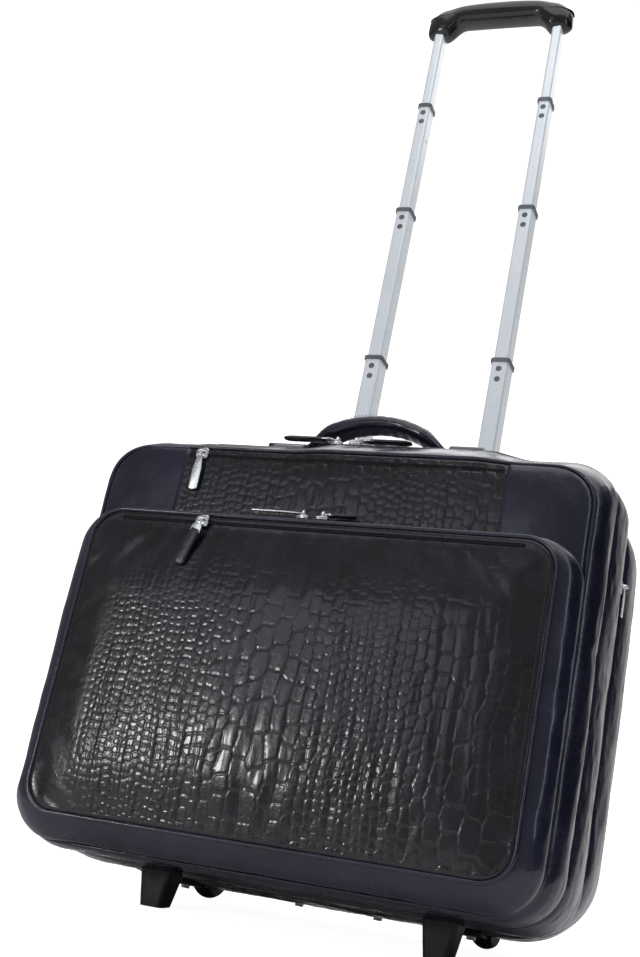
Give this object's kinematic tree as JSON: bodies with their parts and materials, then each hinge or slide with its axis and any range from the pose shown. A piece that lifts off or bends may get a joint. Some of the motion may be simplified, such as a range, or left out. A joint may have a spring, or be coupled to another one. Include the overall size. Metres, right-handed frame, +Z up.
{
  "type": "rolling laptop case",
  "caption": "Soft-sided rolling laptop case with zipped front pocket, two zipped compartments, telescopic pull handle, carry handle, rear wheels and front feet.",
  "frame": {"origin": "on the floor, under the middle of the whole case with its handle at full height", "axes": "+Z up, +X to the right when facing the front pocket, +Y towards the back; the case leans back by 10 degrees, as it stands"},
  "size_m": [0.4401, 0.3869, 0.9472],
  "materials": {
    "croc_patent": "gloss embossed patent",
    "smooth_patent": "gloss patent",
    "zip_metal": "polished",
    "zip_tape": "woven tape with a metal chain",
    "aluminium": "anodised, brushed",
    "collar_plastic": "satin",
    "grip_plastic": "gloss moulded",
    "black_plastic": "textured moulded",
    "board": "matt",
    "lining": "woven",
    "steel": "zinc plated",
    "tyre_rubber": "matt",
    "pull_leather": "gloss"
  },
  "bodies": {
    "case": {"pocket_panel": "croc_patent", "pocket_gusset": "smooth_patent", "pocket_zip": "zip_tape", "front_panel": "croc_patent", "front_gusset": "smooth_patent", "front_zip": "zip_tape", "main_zip": "zip_tape", "middle_gusset": "smooth_patent", "rear_zip": "zip_tape", "rear_gusset": "smooth_patent", "back_panel": "smooth_patent", "base_board": "board", "laptop_sleeve": "lining", "outer_tubes": "aluminium", "trolley_bezel": "black_plastic", "base_bracket": "black_plastic", "wheel_axles": "steel", "base_screws": "steel", "handle_anchors": "smooth_patent", "wheel_housing_left": "black_plastic", "wheel_housing_right": "black_plastic", "foot_left": "black_plastic", "foot_right": "black_plastic"},
    "lower_stage": {"lower_tubes": "aluminium", "lower_collars": "collar_plastic"},
    "middle_stage": {"middle_tubes": "aluminium", "middle_collars": "collar_plastic"},
    "upper_stage": {"upper_tubes": "aluminium", "upper_collars": "collar_plastic"},
    "top_stage": {"top_tubes": "aluminium", "grip_upper": "grip_plastic", "grip_lower": "grip_plastic", "grip_screws": "steel", "button_spring": "steel"},
    "button": {"release_button": "grip_plastic"},
    "rods": {"push_rods": "steel"},
    "top_pin_left": {"top_lock_pin_left": "steel"},
    "top_pin_right": {"top_lock_pin_right": "steel"},
    "upper_pins": {"upper_lock_pins": "steel"},
    "middle_pins": {"middle_lock_pins": "steel"},
    "lower_pins": {"lower_lock_pins": "steel"},
    "wheel_left": {"hub_left": "black_plastic", "tyre_left": "tyre_rubber"},
    "wheel_right": {"hub_right": "black_plastic", "tyre_right": "tyre_rubber"},
    "handle": {"carry_handle": "smooth_patent"},
    "front_slider": {"front_slider": "zip_metal"},
    "front_pull": {"front_pull": "zip_metal"},
    "slip_slider": {"slip_slider": "zip_metal"},
    "slip_pull": {"slip_pull": "pull_leather"},
    "pocket_left_slider": {"pocket_left_slider": "zip_metal"},
    "pocket_left_pull": {"pocket_left_pull": "zip_metal"},
    "pocket_right_slider": {"pocket_right_slider": "zip_metal"},
    "pocket_right_pull": {"pocket_right_pull": "zip_metal"},
    "main_left_slider": {"main_left_slider": "zip_metal"},
    "main_left_pull": {"main_left_pull": "pull_leather"},
    "main_right_slider": {"main_right_slider": "zip_metal"},
    "main_right_pull": {"main_right_pull": "pull_leather"},
    "side_slider": {"side_slider": "zip_metal"},
    "side_pull": {"side_pull": "zip_metal"}
  },
  "joints": [
    {"name": "lower_stage_slide", "type": "slide", "parent": "case", "child": "lower_stage", "axis": [0, 0.1736, 0.9848], "range_m": [-0.135, 0]},
    {"name": "middle_stage_slide", "type": "slide", "parent": "lower_stage", "child": "middle_stage", "axis": [0, 0.1736, 0.9848], "range_m": [-0.165, 0]},
    {"name": "upper_stage_slide", "type": "slide", "parent": "middle_stage", "child": "upper_stage", "axis": [0, 0.1736, 0.9848], "range_m": [-0.124, 0]},
    {"name": "top_stage_slide", "type": "slide", "parent": "upper_stage", "child": "top_stage", "axis": [0, 0.1736, 0.9848], "range_m": [-0.088, 0]},
    {"name": "button_travel", "type": "slide", "parent": "top_stage", "child": "button", "axis": [0, 0.1736, 0.9848], "range_m": [0, 0.003]},
    {"name": "rod_travel", "type": "slide", "parent": "top_stage", "child": "rods", "axis": [0, 0.1736, 0.9848], "range_m": [0, 0.003]},
    {"name": "top_pin_left_travel", "type": "slide", "parent": "top_stage", "child": "top_pin_left", "axis": [1, 0, 0], "range_m": [0, 0.0012]},
    {"name": "top_pin_right_travel", "type": "slide", "parent": "top_stage", "child": "top_pin_right", "axis": [-1, 0, 0], "range_m": [0, 0.0012]},
    {"name": "upper_pins_travel", "type": "slide", "parent": "upper_stage", "child": "upper_pins", "axis": [1, 0, 0], "range_m": [0, 0.0012]},
    {"name": "middle_pins_travel", "type": "slide", "parent": "middle_stage", "child": "middle_pins", "axis": [1, 0, 0], "range_m": [0, 0.0012]},
    {"name": "lower_pins_travel", "type": "slide", "parent": "lower_stage", "child": "lower_pins", "axis": [1, 0, 0], "range_m": [0, 0.0012]},
    {"name": "wheel_left_spin", "type": "hinge", "parent": "case", "child": "wheel_left", "pos_m": [-0.1275, 0.02566, 0.028], "axis": [1, 0, 0], "continuous": true},
    {"name": "wheel_right_spin", "type": "hinge", "parent": "case", "child": "wheel_right", "pos_m": [0.1275, 0.02566, 0.028], "axis": [1, 0, 0], "continuous": true},
    {"name": "handle_fold", "type": "hinge", "parent": "case", "child": "handle", "pos_m": [0, -0.03445, 0.40122], "axis": [-1, 0, 0], "range_deg": [-45, 45]},
    {"name": "front_zip_slide", "type": "slide", "parent": "case", "child": "front_slider", "axis": [1, 0, 0], "range_m": [0, 0.25]},
    {"name": "front_pull_swing", "type": "hinge", "parent": "front_slider", "child": "front_pull", "pos_m": [-0.126, -0.11711, 0.37467], "axis": [-1, 0, 0], "range_deg": [0, 150]},
    {"name": "slip_zip_slide", "type": "slide", "parent": "case", "child": "slip_slider", "axis": [1, 0, 0], "range_m": [-0.06, 0.25]},
    {"name": "slip_pull_swing", "type": "hinge", "parent": "slip_slider", "child": "slip_pull", "pos_m": [-0.095, -0.15918, 0.30999], "axis": [-1, 0, 0], "range_deg": [0, 150]},
    {"name": "pocket_left_zip_slide", "type": "slide", "parent": "case", "child": "pocket_left_slider", "axis": [1, 0, 0], "range_m": [-0.135, 0]},
    {"name": "pocket_left_pull_swing", "type": "hinge", "parent": "pocket_left_slider", "child": "pocket_left_pull", "pos_m": [-0.019, -0.1291, 0.3251], "axis": [0, 0.9848, -0.1736], "range_deg": [0, 150]},
    {"name": "pocket_right_zip_slide", "type": "slide", "parent": "case", "child": "pocket_right_slider", "axis": [1, 0, 0], "range_m": [0, 0.155]},
    {"name": "pocket_right_pull_swing", "type": "hinge", "parent": "pocket_right_slider", "child": "pocket_right_pull", "pos_m": [-0.002, -0.1291, 0.3251], "axis": [0, -0.9848, 0.1736], "range_deg": [0, 150]},
    {"name": "main_left_zip_slide", "type": "slide", "parent": "case", "child": "main_left_slider", "axis": [1, 0, 0], "range_m": [-0.07, 0]},
    {"name": "main_left_pull_swing", "type": "hinge", "parent": "main_left_slider", "child": "main_left_pull", "pos_m": [-0.027, -0.05844, 0.40332], "axis": [0, 0.9848, -0.1736], "range_deg": [0, 150]},
    {"name": "main_right_zip_slide", "type": "slide", "parent": "case", "child": "main_right_slider", "axis": [1, 0, 0], "range_m": [0, 0.1]},
    {"name": "main_right_pull_swing", "type": "hinge", "parent": "main_right_slider", "child": "main_right_pull", "pos_m": [-0.01, -0.05844, 0.40332], "axis": [0, -0.9848, 0.1736], "range_deg": [0, 150]},
    {"name": "side_zip_slide", "type": "slide", "parent": "case", "child": "side_slider", "axis": [0, 0.1736, 0.9848], "range_m": [-0.225, 0.02]},
    {"name": "side_pull_swing", "type": "hinge", "parent": "side_slider", "child": "side_pull", "pos_m": [0.2184, -0.00075, 0.3044], "axis": [0, -0.9848, 0.1736], "range_deg": [0, 140]}
  ],
  "couplings": [
    {"joint": "rod_travel", "follows": "button_travel", "ratio": 1},
    {"joint": "top_pin_left_travel", "follows": "button_travel", "ratio": 0.4},
    {"joint": "top_pin_right_travel", "follows": "button_travel", "ratio": 0.4}
  ]
}
